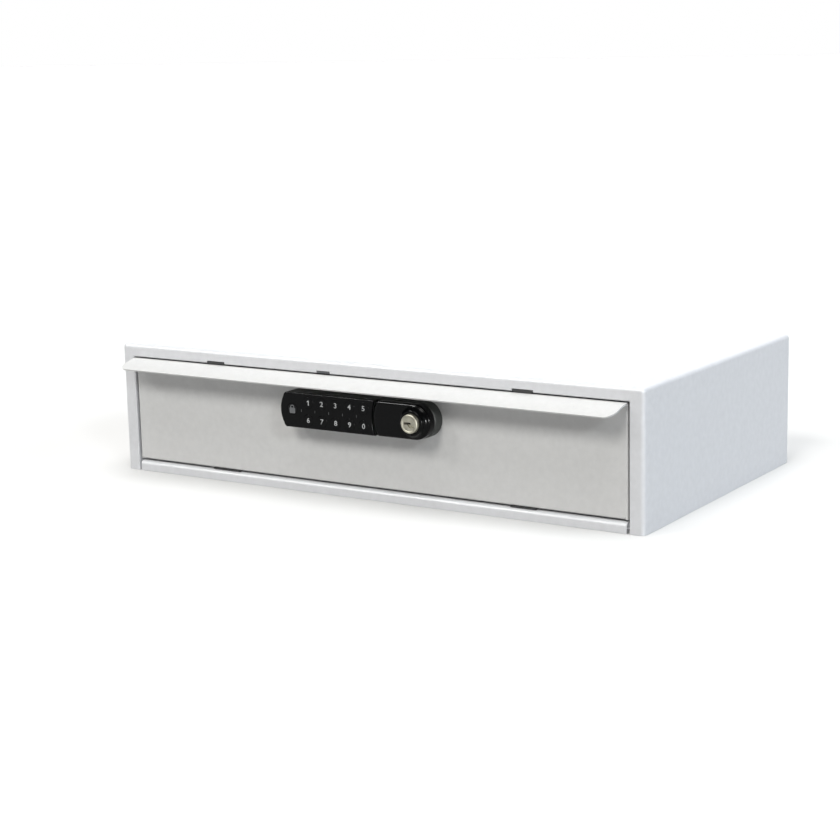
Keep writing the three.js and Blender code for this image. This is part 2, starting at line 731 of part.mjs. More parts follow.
place('lock_base', lockBase(), glossBlack());
place('keypad_cover', keypadCover(), glossBlack());
place('status_lens', statusLens(), acrylic());
place('key_mat', keyMat(), rubber());
place('circuit_board', circuitBoard(), finish(0x1f5a3a, 0.5, 0));
keyPlaces().forEach(({ label, x, z }) => {
  place(`key_${label}`, keyButton(x, z), glossBlack());
});
place('lock_case', lockCase(), mattBlack());
place('battery_cover', batteryCover(), mattBlack());
place('battery_upper', battery(1), finish(0x4a4d52, 0.4, 0.5));
place('battery_lower', battery(-1), finish(0x4a4d52, 0.4, 0.5));
place('lock_motor', lockMotor(), zinc());
place('spindle_bush', spindleBush(), nickel());
lockScrewX.forEach((x, index) => {
  const headY = panelBack + gap + caseWall + gap;
  place(`lock_screw_${index + 1}`, screwToBack(x, lockZ, headY, 9.2, 3.6, 1.8), zinc());
});

place('turn_lever', turnLever(), glossBlack());
place('hub_ring', hubRing(), glossBlack());
place('lever_spindle', leverSpindle(), nickel());
place('lock_cam', lockCam(), nickel());
place('cam_nut', camNut(), zinc());
place('key_plug', keyPlug(), nickel());

export default unit;
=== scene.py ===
import json
import math

import bmesh
import bpy
from mathutils import Matrix, Vector


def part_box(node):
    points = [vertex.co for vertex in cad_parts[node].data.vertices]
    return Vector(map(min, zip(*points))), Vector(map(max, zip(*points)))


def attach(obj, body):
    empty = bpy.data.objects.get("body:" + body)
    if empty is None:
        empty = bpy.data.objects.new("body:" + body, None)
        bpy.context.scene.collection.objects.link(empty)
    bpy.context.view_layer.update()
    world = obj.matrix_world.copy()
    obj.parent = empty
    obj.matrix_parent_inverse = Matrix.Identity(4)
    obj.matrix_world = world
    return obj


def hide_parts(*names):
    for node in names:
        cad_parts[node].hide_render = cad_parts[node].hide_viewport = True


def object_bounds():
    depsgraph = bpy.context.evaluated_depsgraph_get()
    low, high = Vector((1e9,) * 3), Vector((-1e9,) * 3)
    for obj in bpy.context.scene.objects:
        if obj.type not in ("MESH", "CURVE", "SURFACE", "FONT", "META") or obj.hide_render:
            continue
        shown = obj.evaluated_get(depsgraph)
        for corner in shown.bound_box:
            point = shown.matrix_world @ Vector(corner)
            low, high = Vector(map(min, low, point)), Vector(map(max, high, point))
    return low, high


# A lockable drawer unit: folded and powder-coated sheet steel round a drawer on ball slides,
# with a black keypad lock on the front. Everything is in metres; the front faces -Y.

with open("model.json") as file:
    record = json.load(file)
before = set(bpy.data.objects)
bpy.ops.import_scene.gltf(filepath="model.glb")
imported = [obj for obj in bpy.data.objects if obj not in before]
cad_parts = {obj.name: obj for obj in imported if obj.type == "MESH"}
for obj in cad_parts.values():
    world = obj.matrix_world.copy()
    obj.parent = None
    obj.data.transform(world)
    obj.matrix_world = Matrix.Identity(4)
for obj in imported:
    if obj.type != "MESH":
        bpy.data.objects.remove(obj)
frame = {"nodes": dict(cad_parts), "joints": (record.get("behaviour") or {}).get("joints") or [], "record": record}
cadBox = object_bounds()

mm = 0.001
near = 1e-6      # points closer than this are the same place
weldGap = 1e-7
clear = 10 * mm  # how far a cutter reaches past what it cuts
shellLow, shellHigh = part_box("cabinet_shell")
panelLow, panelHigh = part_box("drawer_front")
leverAxis = next(j for j in frame["joints"] if j["name"] == "lever_turn")["pos_m"]
frontY = shellLow.y
backY = shellHigh.y
pivot = Vector((leverAxis[0], 0, leverAxis[2]))

shot = {
    "azimuth": 32.78,
    "elevation": 11.40,
    "roll": -1.31,
    "distance": 1.372,
    "lens": 81.83,
    "sensor": 36,
    "clip": (0.05, 100),
    "target": (0.0503, frontY, 0.0644),
}

studio = {
    "horizonStrength": 1.0,
    "skyStrength": 0.07,
    "horizonBand": (0.035, 0.07),
    "groundStrength": 0.62,
    "groundBand": (-0.04, 0.0),
    "floorColour": (0.615, 0.615, 0.610),
    "floorRoughness": 0.9,
    "floorSize": 40.0,
    "floorGap": 0.2 * mm,
}

# name: (strength, angular size, azimuth, elevation, colour)
lamps = {
    "overheadLight": (2.92, 46, 30, 84, (1.0, 1.0, 1.0)),
    "frontLight": (1.50, 20, 2, 40, (1.0, 0.98, 0.94)),
    "leftLight": (0.55, 10, -42, 38, (1.0, 0.99, 0.97)),
    "sideLight": (1.34, 36, 99, 22, (0.77, 0.88, 1.0)),
    "cornerLight": (0.75, 9, 54, 26, (0.93, 0.97, 1.0)),
    "rearLight": (0.8, 60, 200, 24, (1.0, 1.0, 1.0)),
    "foldGlint": (1.8, 8, -42, 38, (1.0, 1.0, 1.0)),
    "cornerGlint": (4.5, 8, 57, 4, (1.0, 1.0, 1.0)),
}
# the glints only make highlights along folds and edges; the corner light makes none of its own
glints = ("foldGlint", "cornerGlint")
glareFree = ("cornerLight",)


def directionFrom(azimuth, elevation):
    a = math.radians(azimuth)
    e = math.radians(elevation)
    return Vector((math.sin(a) * math.cos(e), -math.cos(a) * math.cos(e), math.sin(e)))


def placeCamera():
    data = bpy.data.cameras.new("camera")
    data.lens = shot["lens"]
    data.sensor_width = shot["sensor"]
    data.clip_start, data.clip_end = shot["clip"]
    camera = bpy.data.objects.new("camera", data)
    bpy.context.scene.collection.objects.link(camera)
    back = directionFrom(shot["azimuth"], shot["elevation"])
    turn = (-back).to_track_quat("-Z", "Y").to_matrix().to_4x4()
    lean = Matrix.Rotation(math.radians(shot["roll"]), 4, "Z")
    place = Matrix.Translation(Vector(shot["target"]) + back * shot["distance"])
    camera.matrix_world = place @ turn @ lean
    bpy.context.scene.camera = camera


def placeLights():
    # a bright band at the horizon, dimmer above and below; plain white where it shows as backdrop
    world = bpy.data.worlds.new("studio")
    world.use_nodes = True
    nodes = world.node_tree.nodes
    links = world.node_tree.links
    place = nodes.new("ShaderNodeTexCoord")
    parts = nodes.new("ShaderNodeSeparateXYZ")
    links.new(place.outputs["Generated"], parts.inputs["Vector"])

    def ramp(band, low, high):
        node = nodes.new("ShaderNodeMapRange")
        settings = (("From Min", band[0]), ("From Max", band[1]), ("To Min", low), ("To Max", high))
        for label, value in settings:
            node.inputs[label].default_value = value
        links.new(parts.outputs["Z"], node.inputs["Value"])
        return node.outputs["Result"]

    def pick(operation, first, second):
        node = nodes.new("ShaderNodeMath")
        node.operation = operation
        links.new(first, node.inputs[0])
        links.new(second, node.inputs[1])
        return node.outputs["Value"]

    sky = ramp(studio["horizonBand"], studio["horizonStrength"], studio["skyStrength"])
    ground = ramp(studio["groundBand"], studio["groundStrength"], studio["horizonStrength"])
    seen = nodes.new("ShaderNodeLightPath").outputs["Is Camera Ray"]
    strength = pick("MAXIMUM", pick("MINIMUM", sky, ground), seen)
    links.new(strength, nodes["Background"].inputs["Strength"])
    nodes["Background"].inputs["Color"].default_value = (1, 1, 1, 1)
    bpy.context.scene.world = world

    for name, (energy, size, azimuth, elevation, colour) in lamps.items():
        lamp = bpy.data.lights.new(name, "SUN")
        lamp.energy = energy
        lamp.angle = math.radians(size)
        lamp.color = colour
        holder = bpy.data.objects.new(name, lamp)
        bpy.context.scene.collection.objects.link(holder)
        turn = directionFrom(azimuth, elevation).to_track_quat("Z", "Y")
        holder.matrix_world = turn.to_matrix().to_4x4()
        holder.visible_diffuse = name not in glints
        holder.visible_glossy = name not in glareFree


def placeFloor():
    # it takes shadows but throws no light up, which the dimmer ground does instead
    bm = bmesh.new()
    bmesh.ops.create_grid(bm, x_segments=1, y_segments=1, size=studio["floorSize"] / 2)
    floor = meshObject("floor", bm)
    floor.location.z = cadBox[0].z - studio["floorGap"]
    material = bpy.data.materials.new("floorPaper")
    material.use_nodes = True
    surface = material.node_tree.nodes["Principled BSDF"]
    surface.inputs["Base Color"].default_value = (*studio["floorColour"], 1)
    surface.inputs["Roughness"].default_value = studio["floorRoughness"]
    surface.inputs["Specular IOR Level"].default_value = 0.0
    floor.data.materials.append(material)
    floor.visible_diffuse = False


def meshObject(name, bm):
    mesh = bpy.data.meshes.new(name)
    bm.normal_update()
    bm.to_mesh(mesh)
    bm.free()
    thing = bpy.data.objects.new(name, mesh)
    bpy.context.scene.collection.objects.link(thing)
    return thing


def skinFrom(polygons):
    # one sheet of faces; corners that coincide are shared
    bm = bmesh.new()
    corners = {}

    def corner(point):
        spot = tuple(round(c, 7) for c in point)
        if spot not in corners:
            corners[spot] = bm.verts.new(point)
        return corners[spot]

    for polygon in polygons:
        bm.faces.new([corner(point) for point in polygon])
    return bm


def roundFolds(bm, isFold, radius, steps):
    folds = [e for e in bm.edges if len(e.link_faces) == 2 and isFold(e.verts[0].co, e.verts[1].co)]
    bmesh.ops.bevel(bm, geom=folds, offset=radius, offset_type="OFFSET", segments=steps,
                    profile=0.5, affect="EDGES", clamp_overlap=True)


def faceTowards(bm, direction):
    # the whole skin is turned so that its largest face in that direction looks along it
    bmesh.ops.recalc_face_normals(bm, faces=bm.faces)
    bm.normal_update()
    aim = Vector(direction)
    best = max(bm.faces, key=lambda f: f.calc_area() * abs(f.normal.dot(aim)))
    if best.normal.dot(aim) < 0:
        bmesh.ops.reverse_faces(bm, faces=bm.faces)


def settle(thing):
    # what the modifiers make becomes the mesh
    bpy.context.view_layer.update()
    made = bpy.data.meshes.new_from_object(
        thing.evaluated_get(bpy.context.evaluated_depsgraph_get()))
    thing.modifiers.clear()
    thing.data = made
    made.name = thing.name


def thicken(thing, thickness):
    solid = thing.modifiers.new("thickness", "SOLIDIFY")
    solid.thickness = thickness
    solid.offset = -1
    solid.use_even_offset = True
    solid.use_quality_normals = True
    settle(thing)


def combine(thing, others, how):
    for other in others:
        step = thing.modifiers.new(how, "BOOLEAN")
        step.operation = how
        step.solver = "EXACT"
        step.object = other
    settle(thing)
    for other in others:
        bpy.data.objects.remove(other)


def softenEdges(thing, width, steps=3, angle=35):
    edge = thing.modifiers.new("edges", "BEVEL")
    edge.width = width
    edge.segments = steps
    edge.limit_method = "ANGLE"
    edge.angle_limit = math.radians(angle)
    edge.use_clamp_overlap = True
    edge.miter_outer = "MITER_ARC"
    settle(thing)


def smoothShade(thing, angle=32):
    thing.data.shade_smooth()
    thing.data.set_sharp_from_angle(angle=math.radians(angle))
    weighted = thing.modifiers.new("normals", "WEIGHTED_NORMAL")
    weighted.keep_sharp = True
    weighted.weight = 60


def blockBetween(name, low, high):
    bm = bmesh.new()
    bmesh.ops.create_cube(bm, size=1)
    size = Vector(high) - Vector(low)
    middle = (Vector(high) + Vector(low)) / 2
    place = Matrix.Translation(middle) @ Matrix.Diagonal((*size, 1))
    bmesh.ops.transform(bm, matrix=place, verts=bm.verts)
    return meshObject(name, bm)


def plateFrom(name, outline, frontPlane, rearPlane, edge=0.0, edgeSteps=4):
    # an outline in X and Z pushed back from frontPlane to rearPlane, with its front edge rounded
    bm = bmesh.new()
    ring = [bm.verts.new((x, frontPlane, z)) for x, z in outline]
    face = bm.faces.new(ring)
    made = bmesh.ops.extrude_face_region(bm, geom=[face])
    moved = [v for v in made["geom"] if isinstance(v, bmesh.types.BMVert)]
    bmesh.ops.translate(bm, verts=moved, vec=(0, rearPlane - frontPlane, 0))
    bmesh.ops.recalc_face_normals(bm, faces=bm.faces)
    if edge:
        rim = [e for e in bm.edges if all(abs(v.co.y - frontPlane) < near for v in e.verts)]
        bmesh.ops.bevel(bm, geom=rim, offset=edge, offset_type="OFFSET", segments=edgeSteps,
                        profile=0.5, affect="EDGES", clamp_overlap=True)
    return meshObject(name, bm)


def turnedFrom(name, middle, profile, steps=72):
    # a profile of (radius, y) points turned about the Y axis through middle
    bm = bmesh.new()
    points = [bm.verts.new((radius, y, 0)) for radius, y in profile]
    edges = [bm.edges.new(pair) for pair in zip(points, points[1:])]
    bmesh.ops.spin(bm, geom=points + edges, cent=(0, 0, 0), axis=(0, 1, 0),
                   angle=math.tau, steps=steps, use_merge=True, use_duplicate=False)
    bmesh.ops.remove_doubles(bm, verts=bm.verts, dist=weldGap)
    bmesh.ops.recalc_face_normals(bm, faces=bm.faces)
    bmesh.ops.translate(bm, verts=bm.verts, vec=(middle.x, 0, middle.z))
    return meshObject(name, bm)


def rodBetween(name, middle, radius, startY, endY, steps=64):
    profile = [(0, startY), (radius, startY), (radius, endY), (0, endY)]
    return turnedFrom(name, middle, profile, steps)


def roundOver(radius, face, turn, angles=(0, 22, 45, 68, 90)):
    # the corner of a turned profile, from its front face to its side
    return [(radius - turn + turn * math.sin(math.radians(a)),
             face + turn - turn * math.cos(math.radians(a))) for a in angles]


def arcPoints(centre, radius, start, end, steps):
    return [(centre[0] + radius * math.cos(math.radians(start + (end - start) * i / steps)),
             centre[1] + radius * math.sin(math.radians(start + (end - start) * i / steps)))
            for i in range(steps + 1)]


def roundedBar(x, z, radius, steps=5):
    # a rectangle in X and Z with round corners
    corners = [(x[1] - radius, z[0] + radius, -90), (x[1] - radius, z[1] - radius, 0),
               (x[0] + radius, z[1] - radius, 90), (x[0] + radius, z[0] + radius, 180)]
    outline = []
    for cx, cz, start in corners:
        outline += arcPoints((cx, cz), radius, start, start + 90, steps)
    return outline


def newFinish(name, colour, roughness, metallic=0.0):
    material = bpy.data.materials.new(name)
    material.use_nodes = True
    surface = material.node_tree.nodes["Principled BSDF"]
    surface.inputs["Base Color"].default_value = (*colour, 1)
    surface.inputs["Roughness"].default_value = roughness
    surface.inputs["Metallic"].default_value = metallic
    return material, surface


def noiseAt(material, size, detail=2.0, roughness=0.5):
    nodes = material.node_tree.nodes
    links = material.node_tree.links
    place = nodes.new("ShaderNodeTexCoord")
    noise = nodes.new("ShaderNodeTexNoise")
    noise.inputs["Scale"].default_value = 1 / size
    noise.inputs["Detail"].default_value = detail
    noise.inputs["Roughness"].default_value = roughness
    links.new(place.outputs["Object"], noise.inputs["Vector"])
    return noise.outputs["Fac"]


# noise gathers round 0.5, so this middle stretch of it is what gets used
noiseSpan = (0.3, 0.7)


def spread(material, value, low, high):
    node = material.node_tree.nodes.new("ShaderNodeMapRange")
    node.inputs["From Min"].default_value = noiseSpan[0]
    node.inputs["From Max"].default_value = noiseSpan[1]
    node.inputs["To Min"].default_value = low
    node.inputs["To Max"].default_value = high
    material.node_tree.links.new(value, node.inputs["Value"])
    return node.outputs["Result"]


def tint(material, surface, value, dark, light):
    ramp = material.node_tree.nodes.new("ShaderNodeValToRGB")
    for stop, position, colour in zip(ramp.color_ramp.elements, noiseSpan, (dark, light)):
        stop.position = position
        stop.color = (*colour, 1)
    material.node_tree.links.new(value, ramp.inputs["Fac"])
    material.node_tree.links.new(ramp.outputs["Color"], surface.inputs["Base Color"])


def bumps(material, surface, heights):
    # each height is (noise value, strength, depth); they are chained one on the other
    below = None
    for value, strength, depth in heights:
        bump = material.node_tree.nodes.new("ShaderNodeBump")
        bump.inputs["Strength"].default_value = strength
        bump.inputs["Distance"].default_value = depth
        material.node_tree.links.new(value, bump.inputs["Height"])
        if below:
            material.node_tree.links.new(below, bump.inputs["Normal"])
        below = bump.outputs["Normal"]
    material.node_tree.links.new(below, surface.inputs["Normal"])


coat = {
    "cabinet": (0.565, 0.571, 0.586),
    "front": (0.525, 0.525, 0.518),
    "tray": (0.55, 0.56, 0.57),
    "mottle": 0.03,
    "roughness": (0.27, 0.40),
    "shine": 0.46,
    "grainSize": 0.0009,
    "waveSize": 0.0045,
    "waveBump": (0.25, 0.0003),
    "grainBump": (0.35, 0.00006),
}


def shades(colour, swing):
    return tuple(c * (1 - swing) for c in colour), tuple(c * (1 + swing) for c in colour)


def powderCoat(name, colour):
    material, surface = newFinish(name, colour, coat["roughness"][0])
    wave = noiseAt(material, coat["waveSize"], 3)
    grain = noiseAt(material, coat["grainSize"], 3, 0.6)
    tint(material, surface, wave, *shades(colour, coat["mottle"]))
    roughness = spread(material, grain, *coat["roughness"])
    material.node_tree.links.new(roughness, surface.inputs["Roughness"])
    bumps(material, surface, [(wave, *coat["waveBump"]), (grain, *coat["grainBump"])])
    surface.inputs["Specular IOR Level"].default_value = coat["shine"]
    return material


plating = {"cloudSize": 0.006, "grainSize": 0.0006, "grainBump": (0.1, 0.00001), "swing": 0.15}
moulding = {"cloudSize": 0.012, "grainStrength": 0.3, "swing": 0.15}


def platedMetal(name, colour, stain, roughness, size=plating["cloudSize"]):
    material, surface = newFinish(name, colour, roughness, 1.0)
    cloud = noiseAt(material, size, 2)
    grain = noiseAt(material, plating["grainSize"], 2)
    tint(material, surface, cloud, stain, colour)
    swing = plating["swing"]
    uneven = spread(material, cloud, roughness * (1 - swing), roughness * (1 + swing))
    material.node_tree.links.new(uneven, surface.inputs["Roughness"])
    bumps(material, surface, [(grain, *plating["grainBump"])])
    return material


def mouldedPlastic(name, colour, roughness, grainSize, grainDepth, shine=0.5):
    material, surface = newFinish(name, colour, roughness[0])
    surface.inputs["Specular IOR Level"].default_value = shine
    cloud = noiseAt(material, moulding["cloudSize"], 3)
    grain = noiseAt(material, grainSize, 2)
    tint(material, surface, cloud, *shades(colour, moulding["swing"]))
    material.node_tree.links.new(spread(material, cloud, *roughness), surface.inputs["Roughness"])
    bumps(material, surface, [(grain, moulding["grainStrength"], grainDepth)])
    return material


finishes = {
    "cabinet_coat": powderCoat("cabinetCoat", coat["cabinet"]),
    "front_coat": powderCoat("frontCoat", coat["front"]),
    "tray_coat": powderCoat("trayCoat", coat["tray"]),
    "zinc": platedMetal("zincPlate", (0.62, 0.64, 0.66), (0.55, 0.56, 0.56), 0.44, 0.009),
    "rubber": mouldedPlastic("blackRubber", (0.02, 0.02, 0.021), (0.7, 0.85), 0.0008, 0.00004),
    "lock_black": mouldedPlastic("lockBlack", (0.0018, 0.0019, 0.0021), (0.14, 0.22), 0.0005, 0.000005,
                                 0.09),
    # a lighter, greenish copy of the lock's black plastic: painted sheen, standing in for the white lip's
    # reflection on the top of the lock body
    "lock_black_painted_sheen": mouldedPlastic("lockBlackPaintedSheen", (0.034, 0.037, 0.034), (0.4, 0.55), 0.0006, 0.00002, 0.3),
    "dull_steel": platedMetal("dullSteel", (0.13, 0.135, 0.14), (0.09, 0.09, 0.095), 0.5),
    "case_black": mouldedPlastic("caseBlack", (0.022, 0.022, 0.023), (0.55, 0.7), 0.0007, 0.00004),
    "nickel": platedMetal("satinNickel", (0.33, 0.32, 0.265), (0.24, 0.23, 0.19), 0.52, 0.004),
    "lens": mouldedPlastic("smokedLens", (0.003, 0.003, 0.0035), (0.08, 0.14), 0.002, 0.000004, 0.14),
    "board": mouldedPlastic("solderMask", (0.02, 0.11, 0.05), (0.3, 0.45), 0.0012, 0.00002),
    "battery": mouldedPlastic("batterySleeve", (0.045, 0.048, 0.055), (0.25, 0.35), 0.002, 0.00001),
}
# printed marks: each has its own finish
inks = {
    "digitInk": mouldedPlastic("digitInk", (0.36, 0.37, 0.37), (0.5, 0.65), 0.0006, 0.000004),
    "tickInk": mouldedPlastic("tickInk", (0.035, 0.037, 0.038), (0.5, 0.65), 0.0006, 0.000004),
    "signInk": mouldedPlastic("signInk", (0.09, 0.094, 0.098), (0.5, 0.65), 0.0006, 0.000004),
}
print("finishes made:", len(finishes) + len(inks))


def finishPiece(thing, slotName, body, *nodes, angle=32, finish=None):
    thing.data.materials.clear()
    thing.data.materials.append(finishes[finish or slotName])
    if angle:
        smoothShade(thing, angle)
    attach(thing, body)
    if nodes:
        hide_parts(*nodes)
    return thing


wrap = {
    "sheet": 1.2 * mm,
    "bend": 3.5 * mm,
    "foldBend": 1.1 * mm,
    "foldDepth": 12 * mm,
    "post": 11.5 * mm,
    "railLow": 91.7 * mm,
    "bendSteps": 8,
    "foldSteps": 5,
}
openHalf = shellHigh.x - wrap["post"]


def cabinetWrap():
    half = shellHigh.x
    top = shellHigh.z
    rail = wrap["railLow"]
    foldY = frontY + wrap["foldDepth"]
    face = [(-half, frontY, 0), (-half, frontY, top), (half, frontY, top), (half, frontY, 0),
            (openHalf, frontY, 0), (openHalf, frontY, rail), (-openHalf, frontY, rail),
            (-openHalf, frontY, 0)]
    roof = [(-half, frontY, top), (half, frontY, top), (half, backY, top), (-half, backY, top)]
    polygons = [face, roof]
    for side in (-1, 1):
        polygons.append([(side * half, frontY, 0), (side * half, frontY, top),
                         (side * half, backY, top), (side * half, backY, 0)])
        polygons.append([(side * openHalf, frontY, 0), (side * openHalf, frontY, rail),
                         (side * openHalf, foldY, rail), (side * openHalf, foldY, 0)])
    polygons.append([(-openHalf, frontY, rail), (openHalf, frontY, rail),
                     (openHalf, foldY, rail), (-openHalf, foldY, rail)])
    bm = skinFrom(polygons)
    faceTowards(bm, (0, 0, 1))

    def isOuterFold(a, b):
        return max(abs(a.x), abs(b.x)) > half - near and (
            min(abs(a.x), abs(b.x)) > half - near or (a.z > top - near and b.z > top - near))

    def isInnerFold(a, b):
        return all(abs(p.x) < openHalf + near and p.z < rail + near for p in (a, b))

    roundFolds(bm, isOuterFold, wrap["bend"], wrap["bendSteps"])
    roundFolds(bm, isInnerFold, wrap["foldBend"], wrap["foldSteps"])
    shell = meshObject("cabinetWrap", bm)
    thicken(shell, wrap["sheet"])
    combine(shell, bumperNotches(), "DIFFERENCE")
    finishPiece(shell, "cabinet_coat", "cabinet", "cabinet_shell")


ears = {
    "size": 16 * mm,
    "low": 18 * mm,
    "highDrop": 8 * mm,
    "gap": 0.3 * mm,
    "hole": 1.9 * mm,
    "corner": 3 * mm,
}


def cabinetEars():
    # four tabs behind the rear corners, which the back panel is screwed to
    inner = shellHigh.x - wrap["sheet"]
    roof = shellHigh.z - wrap["sheet"] - ears["highDrop"]
    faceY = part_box("cabinet_back")[0].y - ears["gap"]
    size = ears["size"]
    corner = ears["corner"]
    for name, side, low in (("LowLeft", -1, ears["low"]), ("LowRight", 1, ears["low"]),
                            ("HighLeft", -1, roof - size), ("HighRight", 1, roof - size)):
        outline = [(inner, low), (inner, low + size)]
        outline += arcPoints((inner - size + corner, low + size - corner), corner, 90, 180, 6)
        outline += arcPoints((inner - size + corner, low + corner), corner, 180, 270, 6)
        outline = [(side * x, z) for x, z in outline]
        ear = plateFrom("cabinetEar" + name, outline, faceY - wrap["sheet"], faceY)
        middle = Vector((side * (inner - size / 2), 0, low + size / 2))
        hole = rodBetween("earHole", middle, ears["hole"], faceY - clear, faceY + clear, 24)
        combine(ear, [hole], "DIFFERENCE")
        finishPiece(ear, "cabinet_coat", "cabinet")


notch = {"reach": 0.3 * mm, "high": 2 * mm, "below": 4 * mm, "behind": 1 * mm}


def bumperNotches():
    cutters = []
    for node in ("top_bumper_left", "top_bumper_right", "centre_catch"):
        low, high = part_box(node)
        cutters.append(blockBetween(
            node + "Notch",
            (low.x - notch["reach"], frontY - clear, wrap["railLow"] - notch["below"]),
            (high.x + notch["reach"], frontY + wrap["foldDepth"] + notch["behind"],
             wrap["railLow"] + notch["high"])))
    return cutters


pan = {
    "sheet": 1.2 * mm,
    "flangeHigh": 12 * mm,
    "flangeGap": 11 * mm,
    "railBend": 3.6 * mm,
    "smallBend": 1.1 * mm,
    "railHigh": 8 * mm,
    "slotWide": 2 * mm,
    "holeSpan": 100 * mm,
    "holeRadius": 2.75 * mm,
}


def cabinetPan():
    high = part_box("cabinet_base")[1]
    half = high.x - pan["sheet"]
    railHalf = openHalf - pan["slotWide"]
    floorZ = pan["sheet"]
    wallY = frontY + wrap["foldDepth"]
    railTop = pan["railHigh"]
    flangeBack = backY - pan["flangeGap"]
    flangeTop = pan["flangeHigh"]
    floor = [(-half, wallY), (-railHalf, wallY), (railHalf, wallY), (half, wallY),
             (half, flangeBack), (half, high.y), (-half, high.y), (-half, flangeBack)]
    polygons = [[(x, y, floorZ) for x, y in floor]]
    for side in (-1, 1):
        polygons.append([(side * half, wallY, floorZ), (side * half, flangeBack, floorZ),
                         (side * half, flangeBack, flangeTop), (side * half, wallY, flangeTop)])
    path = [(wallY, floorZ), (wallY, railTop), (frontY, railTop), (frontY, 0)]
    for (y0, z0), (y1, z1) in zip(path, path[1:]):
        polygons.append([(-railHalf, y0, z0), (railHalf, y0, z0),
                         (railHalf, y1, z1), (-railHalf, y1, z1)])
    bm = skinFrom(polygons)
    faceTowards(bm, (0, 0, 1))

    def isRailFront(a, b):
        return all(abs(p.y - frontY) < near and abs(p.z - railTop) < near for p in (a, b))

    def isOtherFold(a, b):
        across = all(abs(p.y - wallY) < near and abs(p.x) < railHalf + near for p in (a, b))
        beside = all(abs(abs(p.x) - half) < near and abs(p.z - floorZ) < near for p in (a, b))
        return across or beside

    roundFolds(bm, isRailFront, pan["railBend"], 7)
    roundFolds(bm, isOtherFold, pan["smallBend"], 4)
    thing = meshObject("cabinetPan", bm)
    thicken(thing, pan["sheet"])
    middleY = (frontY + backY) / 2
    holes = []
    for sx in (-1, 1):
        for sy in (-1, 1):
            hole = bmesh.new()
            bmesh.ops.create_cone(hole, cap_ends=True, segments=32, radius1=pan["holeRadius"],
                                  radius2=pan["holeRadius"], depth=clear)
            place = (sx * pan["holeSpan"] / 2, middleY + sy * pan["holeSpan"] / 2, 0)
            bmesh.ops.translate(hole, verts=hole.verts, vec=place)
            holes.append(meshObject(f"panHole{sx}{sy}", hole))
    combine(thing, holes, "DIFFERENCE")
    finishPiece(thing, "cabinet_coat", "cabinet", "cabinet_base")


# the drawer front is one sheet: panel, side and lower folds, and the pull lip rolled from its top
pull = {
    "sheet": 1.2 * mm,
    "inset": 1.5 * mm,
    "rise": 0.7 * mm,
    "widenLeft": 0.8 * mm,
    "widenRight": 0.5 * mm,
    "sideFold": 10.5 * mm,
    "lowFold": 9 * mm,
    "foldTop": 86 * mm,
    "foldBend": 1.5 * mm,
    "relief": 2 * mm,
    "slit": 0.2 * mm,
    "edge": 0.28 * mm,
    "spindleHole": 6 * mm,
    "rootBend": 1.4 * mm,
    "tipForward": 19.6 * mm,
    "tipDrop": 6.1 * mm,
    "crownForward": 11 * mm,
    "crownDrop": 1.1 * mm,
    "sag": 0.6 * mm,
    "cornerLeft": 6 * mm,
    "cornerRight": 8 * mm,
    "shoulder": 0.5 * mm,
    "shoulderLength": 9 * mm,
    "lipSteps": 30,
}

# how far the face reaches to each side of the middle
faceLeft = panelHigh.x + pull["widenLeft"]
faceRight = panelHigh.x + pull["widenRight"]


def lipEnds(forward):
    # a hollow shoulder draws each end in, then a round corner takes it to the tip
    turnIn = 0.5 - 0.5 * math.cos(math.pi * min(1, max(0, forward) / pull["shoulderLength"]))

    def end(edge, corner):
        into = max(0.0, forward - (pull["tipForward"] - corner))
        return edge - pull["shoulder"] * turnIn - corner + math.sqrt(max(0.0, corner ** 2 - into ** 2))

    return -end(faceLeft, pull["cornerLeft"]), end(faceRight, pull["cornerRight"])


def lipRows(faceY, underZ):
    # the lip's sheet from the root bend to the tip, as (left end, right end);
    # it hangs a little lower towards the right
    bend = pull["rootBend"]
    rows = [((-faceLeft, y, z), (faceRight, y, z))
            for y, z in arcPoints((faceY - bend, underZ - bend), bend, 0, 90, 6)]
    root = Vector((faceY - bend, underZ))
    crown = Vector((frontY - pull["crownForward"], underZ - pull["crownDrop"]))
    tip = Vector((frontY - pull["tipForward"], underZ - pull["tipDrop"]))
    for i in range(1, pull["lipSteps"] + 1):
        t = 1 - (1 - i / pull["lipSteps"]) ** 2
        y, z = root * (1 - t) ** 2 + crown * 2 * t * (1 - t) + tip * t ** 2
        left, right = lipEnds(frontY - y)
        sag = pull["sag"] * t
        rows.append(((left, y, z + sag), (right, y, z - sag)))
    return rows


def sideEdge(side, half, low, rootZ):
    # one upright edge of the face, from the lower fold to the lip, with a slit at each fold's end
    relief = pull["relief"]
    foldTop = pull["foldTop"]
    slit = pull["slit"]
    run = half - relief
    return [(side * x, z) for x, z in (
        (run, low), (run, low + relief), (run + slit, low + relief), (run + slit, low),
        (half, low), (half, foldTop), (run, foldTop), (run, foldTop + slit), (half, foldTop + slit),
        (half, rootZ))]


